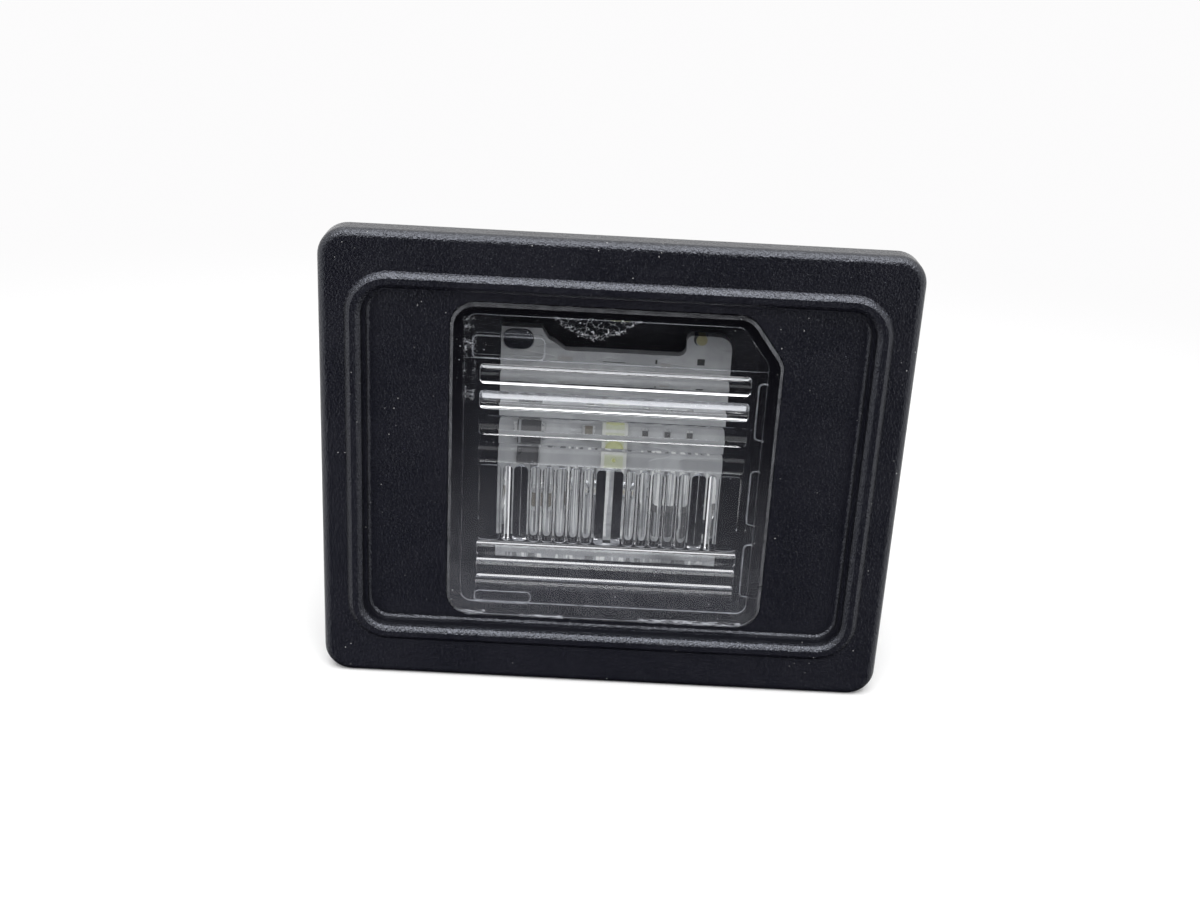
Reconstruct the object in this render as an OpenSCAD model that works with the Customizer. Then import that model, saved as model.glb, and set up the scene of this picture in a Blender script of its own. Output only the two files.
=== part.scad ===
// Number plate lamp: a moulded black housing with a raised frame round a shallow recess, a clear
// fluted lens, and a sealed chamber behind it with a small circuit board, one light diode and a
// two-way connector. It snaps into a panel by a fixed hook and a steel spring clip.
//
// Each piece is drawn lying on its back: x runs to the right, y up the lamp and z to the viewer,
// with z = 0 on the flange's rear face. upright() then stands it up, so that the lamp looks
// along -Y, +Z is up and +Y points into the panel.

/* [Flange] */
// Width of the flange
flange_w = 70; // [66:0.5:84]
// Height of the flange
flange_h = 57.5; // [55:0.5:70]
// Thickness of the flange at its edge
flange_t = 3.2; // [2.8:0.1:4.5]
// Radius of the flange's corners, seen from the front
flange_corner_r = 3.4; // [2.5:0.1:5]
// Radius of the rounded front edge
flange_edge_r = 1; // [0.5:0.1:2]
// Width of the flat rear land that lies on the panel
land_w = 2.2; // [1.5:0.1:2.6]

/* [Raised frame and recess] */
// Distance from the flange's edge to the raised frame, left and right
frame_margin_x = 3.1; // [2:0.1:4]
// Distance from the flange's edge to the raised frame, above and below
frame_margin_z = 4.85; // [3:0.05:5]
// Height of the raised frame's centre over the flange's centre
frame_lift = 0.2; // [-0.3:0.05:0.3]
// Width of the raised bead
bead_w = 2.1; // [1.5:0.1:2.4]
// Height of the raised bead above the flange's face
bead_rise = 0.8; // [0.4:0.05:1]
// Outer radius of the raised frame's corners
frame_corner_r = 5.2; // [4.4:0.1:7]
// Width of the small ledge inside the bead
ledge_w = 0.45; // [0.2:0.05:0.6]
// Depth of that ledge below the flange's face
ledge_drop = 0.6; // [0.3:0.05:0.9]
// Depth of the recess below the flange's face
recess_depth = 1.5; // [1.1:0.05:1.7]
// Radius of the cove round the recess's floor
cove_r = 0.45; // [0.2:0.05:0.6]

/* [Lens] */
// Distance from the flange's edge to the lens, left and right
lens_margin_x = 15.3; // [14.8:0.1:17]
// Distance from the flange's edge to the lens, above and below
lens_margin_z = 8.25; // [7.95:0.05:9.5]
// Radius of the lens's corners
lens_corner_r = 3; // [2.4:0.1:4]
// Width of the cut upper right corner
corner_cut_w = 4.2; // [3.5:0.1:6]
// Height of the cut upper right corner
corner_cut_h = 5.6; // [4:0.1:7]
// Height of the lens's front above the recess's floor
lens_proud = 0.5; // [0.2:0.05:0.9]
// Thickness of the lens's rim
lens_rim_t = 1.6; // [1.2:0.05:1.8]
// Bevel along the lens's front edge
lens_bevel = 0.4; // [0.2:0.05:0.6]
// Width of the rim that rests on the housing
lens_rim_w = 1.65; // [1.3:0.05:2]
// Thickness of the lens inside its rim, from front to back
lens_t = 2.2; // [2:0.05:2.6]
// Height of the plain thinner band at the top of the lens
top_band_h = 7.1; // [6.8:0.1:8]
// Height of the plain band at the bottom of the lens
low_band_h = 3.55; // [3.2:0.05:4.5]
// Depth of the step at the upper band
band_step = 0.25; // [0.1:0.05:0.5]
// Gap between the lens and the housing
lens_gap = 0.12; // [0.05:0.01:0.25]

/* [Flutes] */
// Distance from the lens's edge to the flutes, left and right
flute_margin = 3.5; // [3.3:0.1:5]
// Depth of the level flutes against their drawn sections
level_depth = 1; // [0.85:0.01:1.05]
// Rise of the plain pillow under the upper flutes, as a share of its height
pillow_rise_share = 0.11; // [0.05:0.005:0.2]
// Height of the upright ribs, as a share of the fluted height
upright_share = 0.331; // [0.28:0.001:0.335]
// Depth of the upright ribs against their drawn sections
upright_depth = 1; // [0.7:0.01:1.2]
// Number of small upright flutes on each side of the middle rib
small_count = 5; // [3:1:7]
// Rise of the small upright flutes, as a share of their width
small_rise_share = 0.26; // [0.08:0.005:0.3]
// Gap between two small upright flutes
small_gap = 0.12; // [0.06:0.01:0.3]

/* [Rear body] */
// Thickness of the chamber's walls
wall_t = 1.8; // [1.4:0.1:2]
// Depth of the chamber behind the flange's rear face
chamber_depth = 12.4; // [11.5:0.1:16]
// Thickness of the chamber's rear wall
rear_wall_t = 2; // [1.6:0.1:3]
// Radius of the rear body's corners
body_corner_r = 2; // [1:0.1:3]
// Thickness of the ribs
rib_t = 1.2; // [0.8:0.1:1.6]
// Height of the guide ribs on the body's top and bottom
guide_rise = 1; // [0.6:0.1:1.4]

/* [Panel fixing] */
// Thickness of the panel that the lamp snaps into
panel_t = 1.2; // [0.8:0.1:2]
// Distance from the flange's edge to the panel's cut-out, left and right
cutout_margin = 8.7; // [8.2:0.1:9]
// Width of the fixed hook, up the lamp
hook_w = 16; // [10:0.5:20]
// Thickness of the hook's stem
hook_t = 2.2; // [1.8:0.1:2.6]
// Reach of the hook's nose behind the panel
hook_reach = 2.2; // [1.5:0.1:2.6]
// Height of the hook behind the flange
hook_h = 6.4; // [5.6:0.1:8]
// Width of the steel clip, up the lamp
clip_w = 8; // [6:0.5:9]
// Thickness of the steel clip
clip_t = 0.5; // [0.4:0.05:0.6]
// Thickness of the post that the clip straddles
post_t = 2; // [1.8:0.1:2.4]
// Height of that post behind the flange
post_h = 9.4; // [8.8:0.1:10]

/* [Seal] */
// Width of the foam seal
seal_w = 3.2; // [2.4:0.1:3.2]
// Depth of the groove that holds the seal
groove_depth = 1.2; // [0.8:0.05:1.4]
// Height of the free seal above the land
seal_proud = 0.6; // [0.2:0.05:1]
// Gap between the seal and its groove's sides
seal_gap = 0.1; // [0.05:0.01:0.2]

/* [Circuit board] */
// Distance from the lens's edge in to the board, left and right
board_margin = 5.5; // [4.8:0.1:6.5]
// Distance from the lens's lower edge up to the board
board_low_margin = 7.9; // [6:0.1:9]
// Distance from the lens's top edge down to the board's shoulders
board_top_margin = 5.2; // [4.6:0.1:6]
// Depth of the notch in the board's top
notch_depth = 2.7; // [2.2:0.1:3.2]
// Thickness of the board
board_t = 1.6; // [1:0.1:2]
// Depth of the board's front behind the flange's rear face
board_depth = 6.8; // [6:0.1:7.4]
// Diameter of the locating pin
locator_d = 1.6; // [1.2:0.1:2]
// Length of a locating pin in front of the board
locator_proud = 1.3; // [0.6:0.1:1.6]
// Height of the oblong locating tongue in front of the board
tongue_proud = 0.2; // [0.1:0.1:1]
// Gap between a locating pin and its hole, all round
locator_gap = 0.1; // [0.05:0.01:0.2]

/* [Connector] */
// Width of the connector's socket
socket_w = 13; // [12:0.2:15]
// Height of the connector's socket
socket_h = 7.8; // [7:0.1:9]
// Depth of the connector's socket
socket_depth = 13; // [12.6:0.1:16]
// Height of the connector's centre from the lamp's middle
socket_z = -5.5; // [-6.5:0.1:-5]
// Thickness of the connector's walls
socket_wall_t = 1.4; // [1:0.1:1.8]
// Distance between the two terminals
terminal_pitch = 4; // [3.6:0.1:5]
// Width of a terminal's blade
blade_w = 1.5; // [1.2:0.1:1.8]
// Thickness of a terminal
blade_t = 0.64; // [0.5:0.02:0.8]
// Length of a blade inside the socket
blade_l = 8; // [6:0.1:8]
// Gap between a terminal and its slot, on each side
terminal_gap = 0.05; // [0.03:0.01:0.1]

/* [Hidden] */
$fn = 64;
eps = 0.01;
far = 60;

lens_w = flange_w - 2 * lens_margin_x;
lens_h = flange_h - 2 * lens_margin_z;
cutout_w = flange_w - 2 * cutout_margin;

face_z = flange_t;
floor_z = face_z - recess_depth;
lens_front_z = floor_z + lens_proud;
lens_seat_z = lens_front_z - lens_rim_t;
lens_back_z = lens_front_z - lens_t;
back_relief = 0.2;

frame_w = flange_w - 2 * frame_margin_x;
frame_h = flange_h - 2 * frame_margin_z;
bead_trim = 0.15;
recess_inset = bead_w - bead_trim + ledge_w;
recess_w = frame_w - 2 * recess_inset;
recess_h = frame_h - 2 * recess_inset;
recess_corner_r = frame_corner_r - recess_inset;

plug_r = lens_corner_r - lens_rim_w;
lens_points = cut_corner_points(lens_w, lens_h, lens_corner_r, corner_cut_w, corner_cut_h);
mouth_gap = 0.2;
flute_sink = 0.04;
flute_root = 0.2;
body_w = lens_w - 2 * lens_rim_w + 2 * mouth_gap + 2 * wall_t;
body_h = lens_h - 2 * lens_rim_w + 2 * mouth_gap + 2 * wall_t;
body_depth = chamber_depth + rear_wall_t;

band_z = lens_h / 2 - top_band_h;
flute_low_z = low_band_h - lens_h / 2;
fluted_h = band_z - flute_low_z;
flute_w = lens_w - 2 * flute_margin;
// Level flutes: low edge and height as shares of the fluted height, then the rise, the crest's
// height and the radii below and above the crest as shares of the flute's own height
level_flutes = [
    [-0.004, 0.0666, 0.291, 0.501, 1.587, 0.913],
    [0.0745, 0.0643, 0.34, 0.567, 1.966, 0.995],
    [0.1467, 0.0677, 0.446, 0.582, 1.362, 0.735],
    [0.6781, 0.0887, 0.227, 0.243, 0.481, 1.991],
    [0.7888, 0.0795, 0.433, 0.265, 0.38, 2.002],
    [0.895, 0.0825, 0.362, 0.303, 0.686, 0.816]
];
upright_low_share = 0.2175;
upright_low_z = flute_low_z + upright_low_share * fluted_h;
upright_h = upright_share * fluted_h;
flute_land = 0.01 * fluted_h;
pillow_h = 0.0908 * fluted_h;
pillow_z = upright_low_z + upright_h + flute_land;
// Upright ribs on the right and in the middle, as shares of the flutes' width: left foot, left
// and right edge of the crest, right foot, rise
upright_ribs = [
    [-0.052, -0.015, 0.015, 0.052, 0.037],
    [0.308, 0.335, 0.337, 0.364, 0.028],
    [0.367, 0.382, 0.391, 0.406, 0.0118],
    [0.411, 0.415, 0.492, 0.497, 0.009]
];
small_start = 0.056 * flute_w;
small_pitch = 0.25 * flute_w / small_count;
flute_end_r = 0.6;

hook_x = -cutout_w / 2;
panel_slot = panel_t + 1;
nose_rise = 0.4;
nose_t = 1;
rib_slope = 2;
clip_lead = 2.1;
post_x = cutout_w / 2 - clip_lead;
clip_side_gap = 0.6;
clip_gap = 0.03;

groove_w = seal_w + 2 * seal_gap;
board_w = lens_w - 2 * board_margin;
board_low = lens_h / 2 - board_low_margin;
board_top = lens_h / 2 - board_top_margin;
notch_z = board_top - notch_depth;
board_back = board_depth + board_t;
lobe_x = 0.303 * board_w;
lobe_r = [0.8, 1.7];
notch_r = 1;
board_post_x = board_w / 2 - 2.1;
low_post_z = 2.5 - board_low;
locator_place = [board_post_x, low_post_z];
rest_posts = [[-board_post_x, low_post_z], [board_post_x, board_top - 3]];
board_post_r = 1.7;
tongue_place = [-board_post_x, board_top - 1.5];
tongue_w = 3.6;
tongue_h = 2.4;
tongue_r = 0.45 * tongue_h;
tongue_foot = 0.5;
pin_chamfer = 0.3;
pin_hole_d = 1.2;
pin_w = 0.8;
pin_proud = 1.2;
pad_d = 2.3;
shoulder_w = 2.3;
shoulder_h = 1;
key_rise = 0.8;
collar = 1.2;
collar_t = 0.8;
latch_w = 4;
latch_rise = 1.1;
vent_place = [0.235 * body_w, 0.24 * body_h];
vent_d = 8;
vent_t = 0.3;
vent_hole_d = 2.4;
guard_w = 1.6;
guard_t = 1;

led_size = [3.2, 3.5, 1.5];
led_place = on_board(0.014, 0.016);
phosphor_d = 2.3;
cup_floor = 0.8;
diode_place = on_board(-0.3645, 0.052);
driver_place = diode_place - [0.1, 2.75];
filter_place = on_board(-0.102, 0.06);
resistor_row = [for (u = [0.148, 0.2465, 0.345]) on_board(u, 0.0645)];
notch_row = [for (u = [-0.007, 0.176]) on_board(u, 0.355)];
surge_place = on_board(0.27, -0.33);
input_place = on_board(-0.303, -0.251);
resistor_size = [1.6, 0.8, 0.45];
filter_size = [1.6, 0.8, 0.8];
input_size = [3.2, 1.6, 1.3];
diode_size = [4, 1.8, 1.1];
surge_size = [5, 3.4, 2.2];

moulded = [0.12, 0.12, 0.14];
clear = [0.9, 0.93, 0.95, 0.45];
foam = [0.2, 0.2, 0.2];
steel = [0.75, 0.76, 0.78];
tin = [0.82, 0.82, 0.8];
board_white = [0.85, 0.86, 0.85];
ceramic_tan = [0.72, 0.64, 0.52];
chip_black = [0.08, 0.08, 0.09];

// Place on the board by shares of its width and height, from the lamp's middle
function on_board(u, v) = [u * board_w, v * (board_low + board_top)];

// Corner centres of a rounded rectangle, counter-clockwise from the lower right
function corner_points(w, h, r) = [
    [w / 2 - r, r - h / 2],
    [w / 2 - r, h / 2 - r],
    [r - w / 2, h / 2 - r],
    [r - w / 2, r - h / 2]
];

// The same with the upper right corner cut off: the cut's legs are cw wide and ch high
function cut_corner_points(w, h, r, cw, ch) = let (
    slant = norm([cw, ch]),
    along_top = r * (slant - cw) / ch,
    down_side = r * (slant - ch) / cw
) [
    [w / 2 - r, r - h / 2],
    [w / 2 - r, h / 2 - ch - down_side],
    [w / 2 - cw - along_top, h / 2 - r],
    [r - w / 2, h / 2 - r],
    [r - w / 2, r - h / 2]
];

// Centre of the circle of radius r through a and b, on the right of the way from a to b
function arc_centre(a, b, r) = let (
    d = b - a,
    l = norm(d)
) (a + b) / 2 + sqrt(r * r - l * l / 4) * [d[1], -d[0]] / l;

// Radius of the circle whose segment has this chord and this rise
function segment_r(chord, rise) = (chord * chord / 4 + rise * rise) / (2 * rise);

module upright() {
    rotate([90, 0, 0]) children();
}

// Flat outline that keeps a distance r round a convex polygon
module rounded(points, r) {
    polygon(points);
    for (i = [0 : len(points) - 1]) {
        p = points[i];
        q = points[(i + 1) % len(points)];
        translate(p) circle(r);
        translate(p) rotate(atan2(q[1] - p[1], q[0] - p[0])) translate([0, -r])
            square([norm(q - p), r + eps]);
    }
}

module rounded_box(w, h, r, low, high) {
    translate([0, 0, low]) linear_extrude(high - low) rounded(corner_points(w, h, r), r);
}

// Sweeps a section round a convex polygon: the section's x is the distance out from the polygon
module sweep_round(points) {
    n = len(points);
    for (i = [0 : n - 1]) {
        p = points[i];
        q = points[(i + 1) % n];
        s = points[(i + 2) % n];
        a = atan2(q[1] - p[1], q[0] - p[0]);
        turn = (atan2(s[1] - q[1], s[0] - q[0]) - a + 360) % 360;
        translate(p) rotate(a - 90) translate([0, norm(q - p), 0]) rotate([90, 0, 0])
            linear_extrude(norm(q - p)) children();
        translate(q) rotate(a - 90) rotate_extrude(angle = turn) children();
    }
}

// Plate with a rounded front edge
module flange_plate() {
    points = corner_points(flange_w, flange_h, flange_corner_r);
    linear_extrude(flange_t) rounded(points, flange_corner_r / 2);
    sweep_round(points) {
        square([flange_corner_r, flange_t - flange_edge_r]);
        square([flange_corner_r - flange_edge_r, flange_t]);
        translate([flange_corner_r - flange_edge_r, flange_t - flange_edge_r]) circle(flange_edge_r);
    }
}

// Rounded bead on the flange's face
module bead() {
    r = segment_r(bead_w, bead_rise);
    translate([0, frame_lift, 0]) sweep_round(corner_points(frame_w, frame_h, frame_corner_r))
        translate([frame_corner_r - bead_w / 2, face_z]) intersection() {
            translate([0, bead_rise - r]) circle(r);
            translate([-bead_w / 2, -recess_depth / 2]) square([bead_w, recess_depth]);
        }
}

// Space of the recess, with a ledge under the bead and a cove round its floor
module recess_space() {
    ledge_r = recess_corner_r + ledge_w;
    translate([0, frame_lift, 0]) {
        rounded_box(recess_w + 2 * ledge_w, recess_h + 2 * ledge_w, ledge_r,
            face_z - ledge_drop, face_z + far);
        difference() {
            rounded_box(recess_w, recess_h, recess_corner_r, floor_z, face_z);
            sweep_round(corner_points(recess_w, recess_h, recess_corner_r))
                translate([recess_corner_r, floor_z]) difference() {
                    translate([-cove_r, 0]) square([cove_r, cove_r]);
                    translate([-cove_r, cove_r]) circle(cove_r);
                }
        }
    }
}

// Ring groove in the flange's rear that holds the foam seal
module seal_groove() {
    outer_w = flange_w - 2 * land_w;
    outer_h = flange_h - 2 * land_w;
    r = flange_corner_r;
    translate([0, 0, -eps]) linear_extrude(groove_depth + eps) difference() {
        rounded(corner_points(outer_w, outer_h, r), r);
        rounded(corner_points(outer_w - 2 * groove_w, outer_h - 2 * groove_w, r / 2), r / 2);
    }
}

module back_relief_space() {
    inner_w = flange_w - 2 * land_w - 2 * groove_w;
    inner_h = flange_h - 2 * land_w - 2 * groove_w;
    rounded_box(inner_w, inner_h, flange_corner_r / 2, -eps, back_relief);
}

// Fixed hook on the left, with two ribs to the rear body
module hook() {
    translate([0, hook_w / 2, 0]) rotate([90, 0, 0]) linear_extrude(hook_w) polygon([
        [hook_x, back_relief],
        [hook_x, -panel_slot],
        [hook_x - hook_reach, -panel_slot - nose_rise],
        [hook_x - hook_reach, -panel_slot - nose_rise - nose_t],
        [hook_x, -hook_h],
        [hook_x + hook_t, -hook_h],
        [hook_x + hook_t, back_relief]
    ]);
    for (y = [-0.3, 0.3] * hook_w)
        translate([0, y + rib_t / 2, 0]) rotate([90, 0, 0]) linear_extrude(rib_t) polygon([
            [hook_x + hook_t, back_relief],
            [hook_x + hook_t, -hook_h + rib_slope / 2],
            [-body_w / 2, -hook_h - rib_slope],
            [-body_w / 2, back_relief]
        ]);
}

// Post on the right that carries the steel clip, with a rib on each side of the clip
module clip_post() {
    post_w = clip_w + 2 * clip_side_gap + 2 * rib_t;
    translate([post_x - post_t, -post_w / 2, -post_h]) cube([post_t, post_w, post_h + back_relief]);
    for (s = [-1, 1])
        translate([0, s * (post_w - rib_t) / 2 + rib_t / 2, 0]) rotate([90, 0, 0]) linear_extrude(rib_t)
            polygon([
                [post_x - post_t, back_relief],
                [post_x - post_t, -post_h + rib_slope],
                [body_w / 2, -post_h],
                [body_w / 2, back_relief]
            ]);
}

// Ribs along the body's top and bottom that centre it in the panel's cut-out
module guide_ribs() {
    for (x = [-0.34, 0, 0.34] * body_w)
        for (s = [-1, 1])
            translate([x, s * body_h / 2, 0]) rotate([90, 0, 90]) translate([0, 0, -rib_t / 2])
                linear_extrude(rib_t) polygon([
                    [-eps * s, back_relief],
                    [s * guide_rise, back_relief],
                    [s * guide_rise, -0.5 * chamber_depth],
                    [-eps * s, -0.5 * chamber_depth - 2 * guide_rise]
                ]);
}

// Outside of the connector: a shroud with a latch ramp on top and two keys underneath
module socket_shroud() {
    w = socket_w + 2 * socket_wall_t;
    h = socket_h + 2 * socket_wall_t;
    low = -body_depth - socket_depth;
    translate([0, socket_z, 0]) {
        rounded_box(w, h, socket_wall_t, low, -body_depth + eps);
        translate([latch_w / 2, h / 2, 0]) rotate([90, 0, -90]) linear_extrude(latch_w) polygon([
            [eps, low + 3 * latch_rise],
            [-latch_rise, low + 3 * latch_rise],
            [-latch_rise, low + 2.6 * latch_rise],
            [eps, low + 0.7 * latch_rise]
        ]);
        for (s = [-1, 1])
            translate([s * w / 4 - rib_t / 2, -h / 2 - key_rise, low + rib_t])
                cube([rib_t, key_rise + eps, socket_depth - rib_t]);
        translate([0, 0, -body_depth - collar_t])
            rounded_box(w + 2 * collar, h + 2 * collar, 2 * collar, 0, collar_t + eps);
    }
}

module socket_space() {
    translate([0, socket_z, 0])
        rounded_box(socket_w, socket_h, socket_wall_t / 2, -body_depth - socket_depth - eps, -body_depth);
}

// Slots in the rear wall that the two terminals are pressed through
module terminal_slots() {
    for (s = [-1, 1])
        translate([s * terminal_pitch / 2, socket_z, -body_depth + rear_wall_t / 2]) cube([
            blade_w + 2 * terminal_gap,
            blade_t + 2 * terminal_gap,
            rear_wall_t + 1
        ], center = true);
}

// Posts on the chamber's floor: an oblong tongue and a pin that locate the board, and two plain ones
module board_posts() {
    h = chamber_depth - board_back + eps;
    for (p = concat([locator_place], rest_posts))
        translate([p[0], p[1], -chamber_depth - eps]) cylinder(h = h, r = board_post_r);
    translate([locator_place[0], locator_place[1], 0]) {
        translate([0, 0, -board_back - eps])
            cylinder(h = board_t + locator_proud + eps - pin_chamfer, d = locator_d);
        translate([0, 0, -board_depth + locator_proud - pin_chamfer - eps])
            cylinder(h = pin_chamfer + eps, d1 = locator_d, d2 = locator_d - 2 * pin_chamfer);
    }
    translate([tongue_place[0], tongue_place[1], 0]) {
        rounded_box(tongue_w + 2 * tongue_foot, tongue_h + 2 * tongue_foot, tongue_r,
            -chamber_depth - eps, -board_back);
        rounded_box(tongue_w, tongue_h, tongue_r, -board_back - eps, tongue_proud - board_depth);
    }
}

// Low ring of castellations round the vent
module vent_guard() {
    guard_d = vent_d + 2 * guard_w;
    translate([vent_place[0], vent_place[1], -body_depth - guard_t]) difference() {
        cylinder(h = guard_t + eps, d = guard_d);
        translate([0, 0, -guard_t]) cylinder(h = 2 * guard_t, d = vent_d + guard_w / 2);
        for (a = [0, 60, 120])
            rotate(a) cube([guard_d + guard_w, 1.5 * guard_w, 2 * guard_t - eps], center = true);
    }
}

module housing() {
    color(moulded) upright() {
        difference() {
            union() {
                difference() {
                    union() {
                        flange_plate();
                        bead();
                    }
                    back_relief_space();
                    seal_groove();
                }
                rounded_box(body_w, body_h, body_corner_r, -body_depth, back_relief + eps);
                hook();
                clip_post();
                guide_ribs();
                socket_shroud();
                vent_guard();
            }
            recess_space();
            translate([0, 0, lens_seat_z]) linear_extrude(far)
                rounded(lens_points, lens_corner_r + lens_gap);
            translate([0, 0, -chamber_depth]) linear_extrude(chamber_depth + far)
                rounded(lens_points, plug_r + mouth_gap);
            socket_space();
            terminal_slots();
            translate([vent_place[0], vent_place[1], -body_depth - 1])
                cylinder(h = rear_wall_t + 2, d = vent_hole_d);
        }
        board_posts();
    }
}

// Section of a flute: it rises to its crest over one arc and falls over another
module flute_section(base, rise, crest, low_r, high_r) {
    a = arc_centre([0, 0], [crest, rise], low_r);
    b = arc_centre([crest, rise], [base, 0], high_r);
    overlap = 0.05;
    intersection() {
        translate(b) circle(high_r);
        union() {
            intersection() {
                translate(a) circle(low_r);
                translate([0, -flute_root]) square([crest + overlap, rise + 2 * flute_root]);
            }
            translate([crest + overlap / 2, -flute_root])
                square([base - crest - overlap / 2, rise + 2 * flute_root]);
        }
    }
}

// Flute that lies across the lens, with its lower edge at y and the ends rounded off
module level_flute(y, base, rise, crest, low_r, high_r) {
    translate([0, y, lens_back_z + flute_sink]) intersection() {
        translate([-flute_w / 2, 0, 0]) rotate([90, 0, 90]) mirror([0, 1, 0]) linear_extrude(flute_w)
            flute_section(base, rise, crest, low_r, high_r);
        translate([0, base / 2, 0]) rounded_box(flute_w, base, flute_end_r, -2 * rise, flute_root);
    }
}

// Upright flute or rib with its section drawn between two feet, the ends rounded off
module upright_flute(left_foot, right_foot, rise) {
    base = right_foot - left_foot;
    r = min(flute_end_r, 0.49 * base);
    translate([0, upright_low_z, lens_back_z + flute_sink]) intersection() {
        rotate([-90, 0, 0]) linear_extrude(upright_h) children();
        translate([left_foot + base / 2, upright_h / 2, 0])
            rounded_box(base, upright_h, r, -2 * rise, flute_root);
    }
}

module upright_rib(shares) {
    x = flute_w * shares;
    rise = upright_depth * x[4];
    upright_flute(x[0], x[3], rise) polygon([
        [x[0], -flute_root],
        [x[3], -flute_root],
        [x[3], 0],
        [x[2], rise],
        [x[1], rise],
        [x[0], 0]
    ]);
}

module small_flute(x) {
    base = small_pitch - small_gap;
    rise = small_rise_share * base;
    r = segment_r(base, rise);
    upright_flute(x - base / 2, x + base / 2, rise) intersection() {
        translate([x, rise - r]) circle(r);
        translate([x - base / 2, -flute_root]) square([base, rise + 2 * flute_root]);
    }
}

// Shallow pad or pocket on the lens's rear face, from its lower left corner
module label_patch(x, y, w, h, low, high) {
    translate([x + w / 2, y + h / 2, 0]) rounded_box(w, h, flute_end_r, low, high);
}

module lens() {
    r = lens_corner_r;
    patch_rise = 0.2;
    left = -lens_w / 2;
    pocket_h = 0.176 * lens_h;
    color(clear) upright() {
        difference() {
            union() {
                translate([0, 0, lens_seat_z]) linear_extrude(lens_rim_t) rounded(lens_points, plug_r);
                sweep_round(lens_points) polygon([
                    [0, lens_seat_z],
                    [r, lens_seat_z],
                    [r, lens_front_z - lens_bevel],
                    [r - lens_bevel, lens_front_z],
                    [0, lens_front_z]
                ]);
                translate([0, 0, lens_back_z]) linear_extrude(lens_t - lens_bevel)
                    rounded(lens_points, plug_r);
            }
            translate([-far, band_z, lens_back_z - 1]) cube([2 * far, far, 1 + band_step]);
            for (v = [0.115, -0.16, -0.402])
                label_patch(-left - 2.6, v * lens_h, 1.9, pocket_h,
                    lens_back_z - 1, lens_back_z + patch_rise);
        }
        for (f = level_flutes) {
            h = f[1] * fluted_h;
            low = flute_low_z + f[0] * fluted_h;
            level_flute(low, h, level_depth * f[2] * h, f[3] * h, f[4] * h, f[5] * h);
        }
        pillow_r = segment_r(pillow_h, pillow_rise_share * pillow_h);
        level_flute(pillow_z, pillow_h, pillow_rise_share * pillow_h, pillow_h / 2, pillow_r, pillow_r);
        upright_rib(upright_ribs[0]);
        for (s = [0, 1])
            mirror([s, 0, 0]) {
                for (i = [1 : 3]) upright_rib(upright_ribs[i]);
                for (i = [0 : small_count - 1]) small_flute(small_start + (i + 0.5) * small_pitch);
            }
        label_patch(left + 2.6, band_z + 0.5, 8.5, 2.7,
            lens_back_z + band_step - patch_rise, lens_back_z + band_step + eps);
        label_patch(left + 3.4, 1.6 - lens_h / 2, 7.1, 1.4, lens_back_z - patch_rise, lens_back_z + eps);
    }
}

module seal() {
    outer_w = flange_w - 2 * land_w - 2 * seal_gap;
    outer_h = flange_h - 2 * land_w - 2 * seal_gap;
    r = flange_corner_r - seal_gap;
    color(foam) upright() translate([0, 0, -seal_proud]) linear_extrude(groove_depth + seal_proud)
        difference() {
            rounded(corner_points(outer_w, outer_h, r), r);
            rounded(corner_points(outer_w - 2 * seal_w, outer_h - 2 * seal_w, r / 2), r / 2);
        }
}

// Strip drawn step by step: [length] is a straight run, [angle, radius] a bend to the left
module strip(steps, t, i = 0) {
    if (i < len(steps)) {
        if (len(steps[i]) == 1) {
            l = steps[i][0];
            translate([-eps, -t / 2]) square([l + 2 * eps, t]);
            translate([l, 0]) strip(steps, t, i + 1);
        } else {
            a = abs(steps[i][0]);
            r = steps[i][1];
            side = sign(steps[i][0]);
            reach = 3 * (r + t);
            mirror([0, side < 0 ? 1 : 0]) translate([0, r]) intersection() {
                difference() {
                    circle(r + t / 2);
                    circle(r - t / 2);
                }
                polygon([
                    [0, 0],
                    reach * [0, -1],
                    reach * [sin(a / 2), -cos(a / 2)],
                    reach * [sin(a), -cos(a)]
                ]);
            }
            translate([0, side * r]) rotate(side * a) translate([0, -side * r]) strip(steps, t, i + 1);
        }
    }
}

// Leaf spring that straddles the post and snaps behind the panel's edge
module spring_clip() {
    bend_r = (post_t + clip_t) / 2 + clip_gap;
    wide_r = 2.4 * clip_t;
    tight_r = 1.8 * clip_t;
    inner_leg = 0.69 * post_h;
    outer_leg = 0.45 * post_h;
    nose_leg = 0.21 * post_h;
    end_leg = 0.095 * post_h;
    color(steel) upright()
        translate([post_x - post_t - clip_t / 2 - clip_gap, clip_w / 2, -post_h + inner_leg - clip_gap])
            rotate([90, 0, 0]) linear_extrude(clip_w) rotate(-90) strip([
                [inner_leg],
                [180, bend_r],
                [end_leg],
                [-30, wide_r],
                [outer_leg],
                [62, tight_r],
                [nose_leg],
                [-32, tight_r],
                [end_leg]
            ], clip_t);
}

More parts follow.
